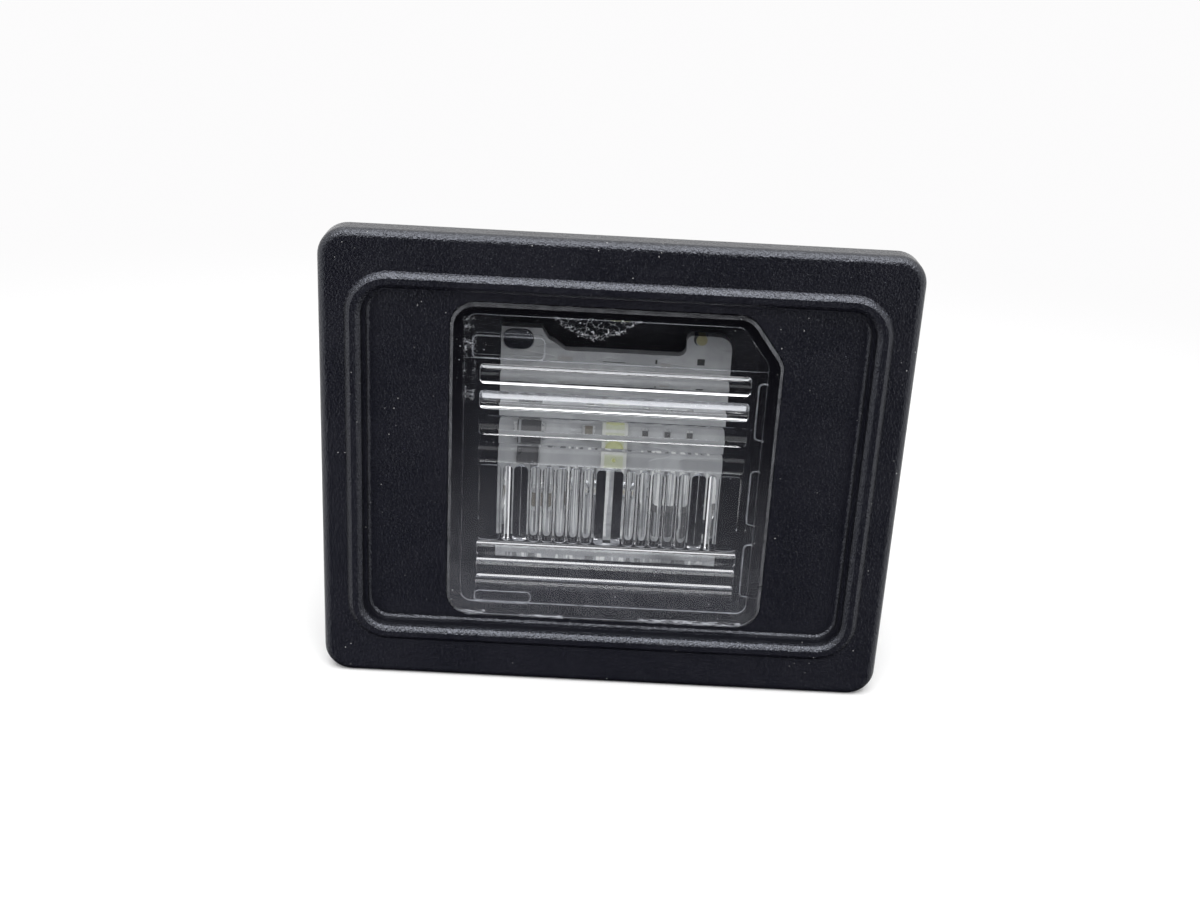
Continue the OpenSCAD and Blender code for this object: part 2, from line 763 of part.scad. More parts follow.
// Outline of the board: two shoulders on each side of a wide notch, the right one round
module board_outline() {
    half = board_w / 2;
    polygon([
        [-half, -board_low],
        [half, -board_low],
        [half, board_top - lobe_r[1]],
        [half - lobe_r[1], board_top],
        [lobe_x + lobe_r[0], board_top],
        [lobe_x, board_top - lobe_r[0]],
        [lobe_x, notch_z],
        [-0.444 * half, notch_z],
        [-0.53 * half, notch_z + 0.33 * notch_depth],
        [-0.59 * half, notch_z + 0.48 * notch_depth],
        [-0.655 * half, board_top],
        [-half, board_top]
    ]);
    translate([half - lobe_r[1], board_top - lobe_r[1]]) circle(lobe_r[1]);
    translate([lobe_x + lobe_r[0], board_top - lobe_r[0]]) circle(lobe_r[0]);
    translate([lobe_x, notch_z]) difference() {
        translate([-notch_r, -notch_r]) square([notch_r + eps, 2 * notch_r]);
        translate([-notch_r, notch_r]) circle(notch_r);
    }
}

module circuit_board() {
    hole_w = tongue_w + 2 * locator_gap;
    hole_h = tongue_h + 2 * locator_gap;
    color(board_white) upright() translate([0, 0, -board_back]) linear_extrude(board_t) difference() {
        board_outline();
        translate(locator_place) circle(d = locator_d + 2 * locator_gap);
        translate(tongue_place)
            rounded(corner_points(hole_w, hole_h, tongue_r + locator_gap), tongue_r + locator_gap);
        for (s = [-1, 1]) translate([s * terminal_pitch / 2, socket_z]) circle(d = pin_hole_d);
    }
}

// Block soldered on the board's front, with metal ends that stand a little proud of its body
module chip(place, size, turn = 0) {
    end_l = 0.2 * size[0];
    proud = 0.06;
    translate([place[0], place[1], -board_depth]) rotate(turn) {
        translate([0, 0, size[2] / 2])
            cube([size[0] - end_l, size[1] - proud, size[2] - proud], center = true);
        for (s = [-1, 1])
            translate([s * (size[0] - end_l) / 2, 0, size[2] / 2])
                cube([end_l, size[1], size[2]], center = true);
    }
}

module led_package() {
    color("ivory") upright() translate([led_place[0], led_place[1], -board_depth]) difference() {
        translate([-led_size[0] / 2, -led_size[1] / 2, 0]) cube(led_size);
        translate([0, 0, cup_floor]) cylinder(h = led_size[2], d = phosphor_d);
    }
}

module led_phosphor() {
    color("gold") upright() translate([led_place[0], led_place[1], -board_depth + cup_floor])
        cylinder(h = led_size[2] - cup_floor - 0.05, d = phosphor_d);
}

// Diode with a moulded body and two folded tabs
module flat_diode(place, size) {
    translate([place[0], place[1], -board_depth]) {
        translate([0, 0, size[2] / 2 + 0.05]) cube([0.76 * size[0], size[1], size[2] - 0.1], center = true);
        for (s = [-1, 1])
            translate([s * 0.42 * size[0], 0, size[2] / 4])
                cube([0.16 * size[0], 0.55 * size[1], size[2] / 2], center = true);
    }
}

module reverse_diode() {
    color(chip_black) upright() flat_diode(diode_place, diode_size);
}

module surge_diode() {
    color(chip_black) upright() flat_diode(surge_place, surge_size);
}

// Small driver with three legs on each side
module driver_chip() {
    body = [2.7, 1.3, 1.1];
    leg = [0.3, 0.6, 0.4];
    color(chip_black) upright() translate([driver_place[0], driver_place[1], -board_depth]) {
        translate([0, 0, body[2] / 2 + 0.1]) cube(body, center = true);
        for (x = [-0.9, 0, 0.9])
            for (s = [-1, 1])
                translate([x, s * (body[1] / 2 + 0.25), leg[2] / 2]) cube(leg, center = true);
    }
}

module input_capacitor() {
    color(ceramic_tan) upright() chip(input_place, input_size, 90);
}

module filter_capacitor() {
    color(ceramic_tan) upright() chip(filter_place, filter_size);
}

module resistor_1() {
    color(chip_black) upright() chip(resistor_row[0], resistor_size, 90);
}

module resistor_2() {
    color(chip_black) upright() chip(resistor_row[1], resistor_size, 90);
}

module resistor_3() {
    color(chip_black) upright() chip(resistor_row[2], resistor_size, 90);
}

module resistor_4() {
    color(chip_black) upright() chip(notch_row[0], resistor_size);
}

module resistor_5() {
    color(chip_black) upright() chip(notch_row[1], resistor_size);
}

// Tab pressed through the rear wall: a blade in the socket, a shoulder on the chamber's floor
// and a pin through the board
module terminal(side) {
    blade_end = -body_depth - blade_l;
    shoulder_z = -chamber_depth;
    pin_z = shoulder_z + shoulder_h;
    tip = 0.8;
    taper = 0.4;
    color(tin) upright() translate([side * terminal_pitch / 2, socket_z + blade_t / 2, 0]) rotate([90, 0, 0])
        linear_extrude(blade_t) polygon([
            [-blade_w / 2 + taper, blade_end],
            [blade_w / 2 - taper, blade_end],
            [blade_w / 2, blade_end + tip],
            [blade_w / 2, shoulder_z],
            [shoulder_w / 2, shoulder_z],
            [shoulder_w / 2, pin_z],
            [pin_w / 2, pin_z],
            [pin_w / 2, -board_depth + pin_proud],
            [-pin_w / 2, -board_depth + pin_proud],
            [-pin_w / 2, pin_z],
            [-shoulder_w / 2, pin_z],
            [-shoulder_w / 2, shoulder_z],
            [-blade_w / 2, shoulder_z],
            [-blade_w / 2, blade_end + tip]
        ]);
}

module terminal_left() {
    terminal(-1);
}

module terminal_right() {
    terminal(1);
}

// Solder fillet round a terminal's pin
module solder(side) {
    rise = 0.9 * pin_proud;
    neck = 0.62;
    flare = 0.25;
    color(tin) upright() translate([side * terminal_pitch / 2, socket_z, -board_depth]) difference() {
        rotate_extrude() difference() {
            square([pad_d / 2, rise]);
            translate([pad_d / 2 + flare, rise]) circle(pad_d / 2 + flare - neck);
        }
        cube([pin_w, blade_t, 3 * pin_proud], center = true);
    }
}

module solder_left() {
    solder(-1);
}

module solder_right() {
    solder(1);
}

module vent_membrane() {
    color("whitesmoke") upright()
        translate([vent_place[0], vent_place[1], -body_depth - vent_t]) cylinder(h = vent_t, d = vent_d);
}

housing();
lens();
seal();
spring_clip();
circuit_board();
led_package();
led_phosphor();
reverse_diode();
driver_chip();
surge_diode();
input_capacitor();
filter_capacitor();
resistor_1();
resistor_2();
resistor_3();
resistor_4();
resistor_5();
terminal_left();
terminal_right();
solder_left();
solder_right();
vent_membrane();
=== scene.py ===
"""Looks of the number plate lamp: camera, stage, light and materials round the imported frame."""

import math

import bpy
from mathutils import Euler, Matrix, Vector


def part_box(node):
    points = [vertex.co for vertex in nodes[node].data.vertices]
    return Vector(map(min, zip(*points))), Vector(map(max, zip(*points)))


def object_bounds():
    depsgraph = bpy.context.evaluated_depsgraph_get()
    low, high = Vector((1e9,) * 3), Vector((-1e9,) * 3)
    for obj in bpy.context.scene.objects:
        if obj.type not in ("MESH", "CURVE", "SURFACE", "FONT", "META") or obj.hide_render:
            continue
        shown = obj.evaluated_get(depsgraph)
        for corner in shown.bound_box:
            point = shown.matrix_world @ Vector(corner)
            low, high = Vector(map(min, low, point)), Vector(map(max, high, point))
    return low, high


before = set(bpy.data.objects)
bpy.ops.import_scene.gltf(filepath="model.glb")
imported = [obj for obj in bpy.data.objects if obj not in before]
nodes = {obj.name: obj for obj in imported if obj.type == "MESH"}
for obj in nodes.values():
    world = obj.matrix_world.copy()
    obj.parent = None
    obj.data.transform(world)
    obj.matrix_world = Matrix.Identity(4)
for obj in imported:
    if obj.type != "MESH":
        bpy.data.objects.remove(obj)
bounds_at_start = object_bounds()

# Millimetres in the frame's axes: x to the right, y to the rear, z up
# A zone seen from the front is written as its lowest x, highest x, lowest z and highest z
MM = 0.001

# Camera, 22 degrees above the lamp and turned a little clockwise
CAMERA_PLACE = (-2.83, -167.77, 69.82)
CAMERA_DEGREES = (67.9785, -2.89, 0.6833)
FOCAL_LENGTH = 44.49
SENSOR_WIDTH = 36
NEAREST_SEEN = 10

# Stage and light; the floor's reach and the lamps' places and sizes are in metres, their power in watts
BACKDROP = (0.972, 0.968, 0.972, 1)
FLOOR_REACH = 3
FLOOR_FADE = (90, 260)
FLOOR_LIFT = 0.08
OVERHEAD = {"place": (0, -0.2, 0.62), "size": (0.8, 0.7), "power": 5.3}
FRONT_LAMP = {"place": (0, -0.62, 0.6), "size": (0.7, 0.5), "power": 3.7}
ROOM_LIGHT = 0.25

# Housing: the chamber's walls have no grain
FLANGE_FRONT = -3.2
CHAMBER = (-18.9, 18.9, -19.6, 19.6)
CHAMBER_DEPTH = (-1.0, 8.8)
GRAIN_DEPTH = 0.11
GRAIN_ON_SLOPES = 1.5

# Lens; the scuffed arch's crown and upper end are measured from the lens's top
LENS_PADS = (
    (-17.1, -8.6, 13.5, 16.2),
    (-16.3, -9.2, -18.9, -17.5),
    (17.1, 19.0, 4.715, 11.93),
    (17.1, 19.0, -6.56, 0.656),
    (17.1, 19.0, -16.48, -9.27),
)
PAD_CORNER = 0.6
LENS_RIM = 2.0
ARCH_MIDDLE = -2.6
ARCH_HALF_WIDTH = 5.2
ARCH_HEIGHT = 2.6
ARCH_CROWN = (-1.55, -0.85)
ARCH_UPPER_END = (-1.05, -1.3)
SCUFFED_LEFT = (-18.3, -16.4, 8.2, 19.0)
RUBBED_LOW_LEFT = (-19.2, -14.6, -20.7, -19.3)
RUBBED_LOW_MIDDLE = (-10.6, -4.8, -20.7, -19.7)
RUBBED_LOW_RIGHT = (4.2, 17.6, -20.7, -19.5)
FILM_THINNEST_Z = 6.0
FILM_THICKEST_Z = -19.0

# Circuit board and its parts; the chip's and the light diode's places are from their middle
TRACKS_LOW = (-13.0, 13.0, -12.2, -2.7)
FLUX_SPOTS = ((-7.3, -5.2, 11.1, 12.0), (5.4, 6.9, 10.8, 11.7))
PRINTED_LINES = ((4.85, 5.15, 11.4, 12.0), (-1.6, 1.2, 11.3, 11.45))
DARK_PAD = (10.0, 11.0, 11.5, 12.4)
ROUND_PAD = (10.4, 14.8)
ROUND_PAD_R = 0.75
CHIP_BODY_REACH = 0.66
CHIP_DIMPLE = (-0.95, 0.3)
CHIP_DIMPLE_R = 0.2
LED_GEL = (-1.25, 1.25, -1.35, 1.65)
LED_FOOT = 0.5
LED_FOOT_HEIGHT = 0.4
BAND_INSET = 0.15

# Vent
FILM_R = 3.1

# Colours that several materials share
DUST = (0.42, 0.42, 0.41, 1)
PART_BLACK = (0.05, 0.05, 0.053, 1)
PART_TAN = (0.15, 0.135, 0.11, 1)
CERAMIC_PALE = (0.45, 0.45, 0.43, 1)

# Numbers of the sockets of a colour Mix node, which share their names with those of its other kinds
MIX_A = 6
MIX_B = 7
MIX_COLOUR = 2


def grey(value):
    return (value, value, value, 1)


def darker(colour, share):
    return tuple(share * c for c in colour[:3]) + (1,)


def node_box(name):
    """Lowest and highest corner of a node."""
    low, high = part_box(name)
    return low / MM, high / MM


def node_middle(name):
    low, high = node_box(name)
    return (low + high) / 2


# Camera
def add_camera():
    data = bpy.data.cameras.new("camera")
    data.sensor_width = SENSOR_WIDTH
    data.lens = FOCAL_LENGTH
    data.clip_start = NEAREST_SEEN * MM
    camera = bpy.data.objects.new("camera", data)
    bpy.context.scene.collection.objects.link(camera)
    turn = Euler([math.radians(angle) for angle in CAMERA_DEGREES])
    camera.matrix_world = Matrix.LocRotScale(Vector(CAMERA_PLACE) * MM, turn, None)
    bpy.context.scene.camera = camera


# Shader helpers
class Shader:
    """A node tree with short ways to add and join nodes."""

    def __init__(self, owner):
        owner.use_nodes = True
        self.tree = owner.node_tree
        self.tree.nodes.clear()

    def add(self, kind, inputs=None, **settings):
        """A node; inputs maps a socket's name or number to a value or to another node's output."""
        made = self.tree.nodes.new(kind)
        for name, value in settings.items():
            setattr(made, name, value)
        for name, value in (inputs or {}).items():
            if isinstance(value, bpy.types.NodeSocket):
                self.tree.links.new(value, made.inputs[name])
            else:
                made.inputs[name].default_value = value
        return made

    def math(self, operation, a, b=0.0, clamp=False):
        made = self.add("ShaderNodeMath", {0: a, 1: b}, operation=operation, use_clamp=clamp)
        return made.outputs[0]

    def plus(self, a, b):
        return self.math("ADD", a, b)

    def minus(self, a, b):
        return self.math("SUBTRACT", a, b)

    def absolute(self, value):
        return self.math("ABSOLUTE", value)

    def product(self, *values):
        made = values[0]
        for value in values[1:]:
            made = self.math("MULTIPLY", made, value)
        return made

    def largest(self, *values):
        made = values[0]
        for value in values[1:]:
            made = self.math("MAXIMUM", made, value)
        return made

    def hypotenuse(self, a, b):
        return self.math("SQRT", self.plus(self.product(a, a), self.product(b, b)))

    def ramp(self, value, low, high, out_low=0.0, out_high=1.0):
        """value from low to high becomes out_low to out_high, smoothly and clamped."""
        made = self.add("ShaderNodeMapRange", {
            "Value": value,
            "From Min": low,
            "From Max": high,
            "To Min": out_low,
            "To Max": out_high,
        }, interpolation_type="SMOOTHSTEP")
        return made.outputs["Result"]

    def mix(self, factor, a, b):
        """Colour a where factor is 0 and colour b where it is 1."""
        made = self.add("ShaderNodeMix", {"Factor": factor, MIX_A: a, MIX_B: b}, data_type="RGBA")
        return made.outputs[MIX_COLOUR]

    def place(self):
        """The point in the object's own frame, in millimetres."""
        coordinates = self.add("ShaderNodeTexCoord").outputs["Object"]
        return self.scaled(coordinates, 1 / MM)

    def normal(self):
        """The surface's normal in the object's own frame, split."""
        return self.split(self.add("ShaderNodeTexCoord").outputs["Normal"])

    def facing(self):
        """How much the surface faces the front or the rear, 0 to 1."""
        return self.absolute(self.normal()[1])

    def split(self, vector):
        return self.add("ShaderNodeSeparateXYZ", {0: vector}).outputs[:3]

    def scaled(self, vector, share):
        return self.add("ShaderNodeVectorMath", {0: vector, "Scale": share}, operation="SCALE").outputs[0]

    def stretch(self, vector, x, y, z):
        return self.add("ShaderNodeVectorMath", {0: vector, 1: (x, y, z)}, operation="MULTIPLY").outputs[0]

    def noise(self, vector, scale, detail, roughness=0.5):
        made = self.add("ShaderNodeTexNoise", {
            "Vector": vector,
            "Scale": scale,
            "Detail": detail,
            "Roughness": roughness,
        })
        return made.outputs["Fac"]

    def warp(self, vector, scale, reach):
        """vector pushed about by a noise."""
        cloud = self.add("ShaderNodeTexNoise", {"Vector": vector, "Scale": scale, "Detail": 3.0})
        middle = (0.5, 0.5, 0.5)
        push = self.add("ShaderNodeVectorMath", {0: cloud.outputs["Color"], 1: middle}, operation="SUBTRACT")
        push = self.scaled(push.outputs[0], reach)
        return self.add("ShaderNodeVectorMath", {0: vector, 1: push}, operation="ADD").outputs[0]

    def specks(self, vector, scale, size):
        """1 inside small scattered round specks, 0 elsewhere."""
        cells = self.add("ShaderNodeTexVoronoi", {"Vector": vector, "Scale": scale})
        return self.ramp(cells.outputs["Distance"], size, 0.5 * size)

    def threads(self, vector, scale, width):
        """1 on a net of thin lines."""
        cells = self.add("ShaderNodeTexVoronoi", {"Vector": vector, "Scale": scale},
                         feature="DISTANCE_TO_EDGE")
        return self.ramp(cells.outputs["Distance"], width, 0.3 * width)

    def span(self, value, low, high, soft=0.1):
        """1 between low and high with soft ends."""
        return self.product(self.ramp(value, low, low + soft), self.ramp(value, high, high - soft))

    def box(self, x, z, zone, soft=0.1):
        """1 inside a zone seen from the front."""
        x1, x2, z1, z2 = zone
        return self.product(self.span(x, x1, x2, soft), self.span(z, z1, z2, soft))

    def disc(self, x, z, centre, radius, soft=0.1):
        away = self.hypotenuse(self.minus(x, centre[0]), self.minus(z, centre[1]))
        return self.ramp(away, radius, radius - soft)

    def outline(self, x, z, zone, radius, width):
        """1 on a thin line along the edge of a rounded rectangle."""
        x1, x2, z1, z2 = zone
        over_x = self.minus(self.absolute(self.minus(x, (x1 + x2) / 2)), (x2 - x1) / 2 - radius)
        over_z = self.minus(self.absolute(self.minus(z, (z1 + z2) / 2)), (z2 - z1) / 2 - radius)
        corner = self.hypotenuse(self.largest(over_x, 0.0), self.largest(over_z, 0.0))
        inside = self.math("MINIMUM", self.largest(over_x, over_z), 0.0)
        away = self.absolute(self.minus(self.plus(corner, inside), radius))
        return self.ramp(away, width, 0.4 * width)

    def beyond(self, value, centre, reach, soft=0.04):
        """1 where value is further than reach from centre."""
        return self.ramp(self.absolute(self.minus(value, centre)), reach - soft, reach + soft)

    def bump(self, height, depth):
        """A normal whose surface rises by depth, in millimetres, where height goes from 0 to 1."""
        return self.add("ShaderNodeBump", {"Height": height, "Distance": depth * MM}).outputs[0]

    def principled(self, inputs):
        return self.add("ShaderNodeBsdfPrincipled", inputs).outputs[0]

    def blend(self, factor, a, b):
        """Surface a where factor is 0 and surface b where it is 1."""
        return self.add("ShaderNodeMixShader", {0: factor, 1: a, 2: b}).outputs[0]

    def finish(self, surface):
        self.add("ShaderNodeOutputMaterial", {"Surface": surface})


def material(name):
    made = bpy.data.materials.new(name)
    return made, Shader(made)


# Housing
def moulded_black():
    """Black moulded plastic: leather-like grain, stronger on slopes, dust specks, rubbed patches, painted
    highlight on the bead's top.
    """
    made, s = material("moulded_black")
    p = s.place()
    x, y, z = s.split(p)
    chamber = s.product(s.box(x, z, CHAMBER), s.span(y, *CHAMBER_DEPTH))
    pores = s.noise(p, scale=3.7, detail=2, roughness=0.6)
    on_slopes = s.ramp(s.facing(), 0.985, 0.88, 1.0, GRAIN_ON_SLOPES)
    grain = s.product(s.minus(pores, 0.5), on_slopes, s.minus(1.0, chamber))
    broad = s.noise(p, scale=0.12, detail=3, roughness=0.6)
    colour = s.mix(s.ramp(broad, 0.35, 0.7), (0.0020, 0.0020, 0.0042, 1), (0.0040, 0.0038, 0.0066, 1))
    # Painted highlight: a bluish grey laid into the grain's hollows where the bead's slopes face upward
    upward = s.ramp(s.normal()[2], 0.15, 0.6)
    on_bead = s.ramp(y, FLANGE_FRONT + 0.3, FLANGE_FRONT - 0.1)
    bead_painted_highlight = s.product(upward, on_bead, s.ramp(pores, 0.44, 0.62), 0.14)
    colour = s.mix(bead_painted_highlight, colour, (0.34, 0.36, 0.44, 1))
    dusty = s.ramp(s.noise(p, scale=0.2, detail=1), 0.5, 0.62)
    dust = s.product(s.specks(p, scale=0.9, size=0.075), dusty)
    patches = s.ramp(s.noise(p, scale=0.45, detail=3, roughness=0.6), 0.55, 0.72)
    smears = s.ramp(s.noise(p, scale=2.5, detail=3, roughness=0.7), 0.5, 0.66)
    rubbed = s.product(patches, smears, 0.02)
    s.finish(s.principled({
        "Base Color": s.mix(s.largest(dust, rubbed), colour, DUST),
        "Roughness": s.ramp(broad, 0.3, 0.7, 0.17, 0.23),
        "Specular IOR Level": 0.8,
        "Specular Tint": (0.86, 0.90, 1.0, 1),
        "Normal": s.bump(grain, GRAIN_DEPTH),
    }))
    return made


# Lens
def scuffed_arch(s, p, net, fine):
    """Thin pale lines in an arch under the lens's upper edge, denser along its uneven lower side."""
    x, z = s.split(p)[::2]
    top = node_box("lens")[1].z
    across = s.math("DIVIDE", s.minus(x, ARCH_MIDDLE), ARCH_HALF_WIDTH)
    sag = s.product(ARCH_HEIGHT, s.minus(s.product(across, across), 1.0))
    crown = s.ramp(s.noise(p, scale=0.9, detail=3, roughness=0.6), 0.3, 0.7, *ARCH_CROWN)
    from_top = s.minus(z, top)
    above = s.minus(from_top, s.plus(crown, sag))
    arch = s.product(s.ramp(above, 0.0, 0.25), s.ramp(from_top, *ARCH_UPPER_END))
    lower_side = s.product(arch, s.ramp(above, 1.0, 0.5))
    broken = s.ramp(s.noise(p, scale=1.3, detail=3, roughness=0.6), 0.40, 0.52)
    return s.product(s.largest(s.product(arch, net, broken), s.product(lower_side, fine)), 0.9)


def lens_scuffs(s, p):
    """How scuffed the lens is, 0 to 1: lines at its top and left, a rubbed lower rim and sparse specks."""
    x, y, z = s.split(p)
    front = node_box("lens")[0].y
    net = s.threads(s.stretch(s.warp(p, scale=0.55, reach=2.6), 1.0, 1.0, 1.5), scale=1.0, width=0.014)
    fine = s.threads(s.warp(p, scale=1.1, reach=1.6), scale=1.7, width=0.018)
    patches = s.ramp(s.noise(p, scale=0.5, detail=2), 0.40, 0.54)
    left = s.product(s.box(x, z, SCUFFED_LEFT, soft=0.5), s.largest(net, fine), patches, 0.6)
    rubbed = s.largest(
        s.box(x, z, RUBBED_LOW_LEFT, soft=0.4),
        s.box(x, z, RUBBED_LOW_MIDDLE, soft=0.25),
        s.box(x, z, RUBBED_LOW_RIGHT, soft=0.3),
    )
    spots = s.ramp(s.noise(s.stretch(p, 0.3, 1, 1.6), scale=2.2, detail=4, roughness=0.7), 0.36, 0.66)
    low = s.product(rubbed, spots, 0.55)
    sparse = s.product(s.specks(p, scale=0.75, size=0.06), 0.6)
    near_front = s.ramp(y, front + 1.0, front + 0.3)
    return s.product(near_front, s.largest(scuffed_arch(s, p, net, fine), left, low, sparse))


def painted_lens_edge_highlights(s, p):
    """Painted highlights along the lens's edges, 0 to 1: pale lines on the bevel, welded side and steep
    sides of flutes and pads.
    """
    x, y, z = s.split(p)
    low, high = node_box("lens")
    front = low.y
    flat = s.facing()
    steep = s.ramp(flat, 0.4, 0.2)
    bevel = s.product(s.span(flat, 0.35, 0.95), s.ramp(y, front + 0.7, front + 0.45), 0.16)
    rim = s.largest(
        s.beyond(x, 0.0, high.x - LENS_RIM, soft=0.1),
        s.beyond(z, 0.0, high.z - LENS_RIM, soft=0.1),
    )
    weld = s.product(steep, rim, s.ramp(y, front + 1.0, front + 1.3), 0.3)
    rear = s.ramp(y, front + 1.2, front + 1.6)
    sides = s.product(steep, s.minus(1.0, rim), rear, 0.3)
    pads = s.largest(*[s.outline(x, z, zone, PAD_CORNER, width=0.13) for zone in LENS_PADS])
    patchy = s.ramp(s.noise(p, scale=0.8, detail=4, roughness=0.7), 0.3, 0.65, 0.35, 1.0)
    return s.product(s.largest(bevel, weld, sides, s.product(pads, rear, 0.3)), patchy)


def lens_film(s, p):
    """A thin film of dust on the front of the lens, denser near its lower edge."""
    y, z = s.split(p)[1:]
    front = node_box("lens")[0].y
    cloud = s.ramp(s.noise(p, scale=0.35, detail=4, roughness=0.65), 0.3, 0.7, 0.5, 1.0)
    film = s.ramp(z, FILM_THINNEST_Z, FILM_THICKEST_Z, 0.003, 0.055)
    return s.product(s.ramp(y, front + 0.3, front + 0.1), cloud, film)


def clear_lens():
    """Clear polycarbonate, scuffed in places, with painted pale highlights along its edges; light reaches
    the inside through it.
    """
    made, s = material("clear_lens")
    p = s.place()
    clear = s.principled({
        "Base Color": (0.955, 0.97, 0.99, 1),
        "Roughness": 0.0,
        "IOR": 1.586,
        "Transmission Weight": 1.0,
        "Normal": s.bump(s.noise(p, scale=0.5, detail=2), 0.004),
    })
    # One pale rough surface serves both the real scuffs and the painted edge highlights
    worn = s.principled({"Base Color": (0.70, 0.72, 0.78, 1), "Roughness": 0.5})
    wear_and_edge_highlights = s.largest(lens_scuffs(s, p), painted_lens_edge_highlights(s, p), lens_film(s, p))
    shadow_ray = s.add("ShaderNodeLightPath").outputs["Is Shadow Ray"]
    open_air = s.add("ShaderNodeBsdfTransparent", {"Color": grey(0.9)}).outputs[0]
    s.finish(s.blend(shadow_ray, s.blend(wear_and_edge_highlights, clear, worn), open_air))
    return made


# Circuit board and its parts
def board_white():
    """White solder mask, painted mid grey for the chamber's shade: ridges, tracks below, flux, yellow pad,
    painted pad shadow, marks.
    """
    made, s = material("board_white")
    p = s.place()
    x, z = s.split(p)[::2]
    cloud = s.noise(p, scale=0.5, detail=4, roughness=0.6)
    # Painted shade: the white mask is set to a mid grey for the dim light inside the lamp's chamber
    colour = s.mix(s.ramp(cloud, 0.3, 0.7), (0.34, 0.345, 0.353, 1), (0.41, 0.415, 0.42, 1))
    ridges = s.ramp(s.noise(s.stretch(p, 0.12, 1, 1.0), scale=0.9, detail=0), 0.53, 0.56)
    colour = s.mix(s.product(ridges, 0.35), colour, (0.25, 0.255, 0.26, 1))
    low = s.box(x, z, TRACKS_LOW, soft=0.2)
    bars = s.noise(s.stretch(p, 1.0, 0.0, 0.07), scale=0.9, detail=2, roughness=0.6)
    colour = s.mix(s.product(low, s.ramp(bars, 0.475, 0.44), 0.8), colour, (0.09, 0.09, 0.095, 1))
    colour = s.mix(s.product(low, s.ramp(bars, 0.56, 0.60), 0.8), colour, (0.80, 0.80, 0.78, 1))
    flux = s.largest(*[s.box(x, z, zone, soft=0.3) for zone in FLUX_SPOTS])
    colour = s.mix(s.product(flux, 0.35), colour, (0.21, 0.18, 0.14, 1))
    colour = s.mix(s.disc(x, z, ROUND_PAD, ROUND_PAD_R), colour, (0.3, 0.28, 0.15, 1))
    # Painted shadow: a dark crescent along the round pad's upper left edge
    ring = s.disc(x, z, (ROUND_PAD[0] - 0.1, ROUND_PAD[1] + 0.1), ROUND_PAD_R + 0.2)
    ring_hole = s.disc(x, z, (ROUND_PAD[0] + 0.1, ROUND_PAD[1] - 0.1), ROUND_PAD_R + 0.1)
    lines = [s.box(x, z, zone, soft=0.06) for zone in PRINTED_LINES]
    dark_pad = s.box(x, z, DARK_PAD, soft=0.08)
    dark = s.largest(*lines, dark_pad, s.product(ring, s.minus(1.0, ring_hole)))
    s.finish(s.principled({
        "Base Color": s.mix(dark, colour, grey(0.02)),
        "Roughness": s.ramp(cloud, 0.3, 0.7, 0.4, 0.5),
        "Normal": s.bump(s.plus(ridges, s.product(cloud, 0.2)), 0.03),
    }))
    return made


def two_ended(name, body, side, axis, reach, band=0.0):
    """A small board part: body with paler sides, ends tinned beyond reach and perhaps a band at one end."""
    made, s = material(name)
    p = s.place()
    middle = node_middle(name)[axis]
    along = s.split(p)[axis]
    fine = s.noise(p, scale=6.0, detail=3, roughness=0.6)
    tinned = s.beyond(along, middle, reach)
    front = s.ramp(s.facing(), 0.4, 0.7)
    colour = s.mix(front, side, body)
    if band:
        band_start = middle - reach + BAND_INSET
        stripe = s.span(along, band_start, band_start + band, soft=0.05)
        colour = s.mix(s.product(stripe, front), colour, (0.30, 0.31, 0.32, 1))
    colour = s.mix(s.ramp(fine, 0.3, 0.7, 0.0, 0.3), colour, darker(body, 0.6))
    tin = s.mix(s.ramp(fine, 0.35, 0.65), (0.50, 0.51, 0.52, 1), (0.70, 0.70, 0.69, 1))
    s.finish(s.principled({
        "Base Color": s.mix(tinned, colour, tin),
        "Metallic": tinned,
        "Roughness": s.plus(s.ramp(fine, 0.3, 0.7, 0.36, 0.5), s.product(tinned, -0.12)),
        "Normal": s.bump(fine, 0.02),
    }))
    return made


def chip_black():
    """Black epoxy with a round dimple at one corner and tinned legs on its long sides."""
    made, s = material("chip_black")
    p = s.place()
    x, z = s.split(p)[::2]
    middle = node_middle("driver_chip")
    fine = s.noise(p, scale=6.0, detail=3, roughness=0.6)
    legs = s.beyond(z, middle.z, CHIP_BODY_REACH)
    dimple = s.disc(s.minus(x, middle.x), s.minus(z, middle.z), CHIP_DIMPLE, CHIP_DIMPLE_R, soft=0.06)
    epoxy = s.mix(s.ramp(fine, 0.3, 0.7), (0.045, 0.045, 0.048, 1), (0.06, 0.06, 0.063, 1))
    s.finish(s.principled({
        "Base Color": s.mix(legs, epoxy, grey(0.60)),
        "Metallic": legs,
        "Roughness": s.plus(s.ramp(fine, 0.3, 0.7, 0.42, 0.55), s.product(legs, -0.2)),
        "Normal": s.bump(s.minus(s.product(fine, 0.3), dimple), 0.06),
    }))
    return made


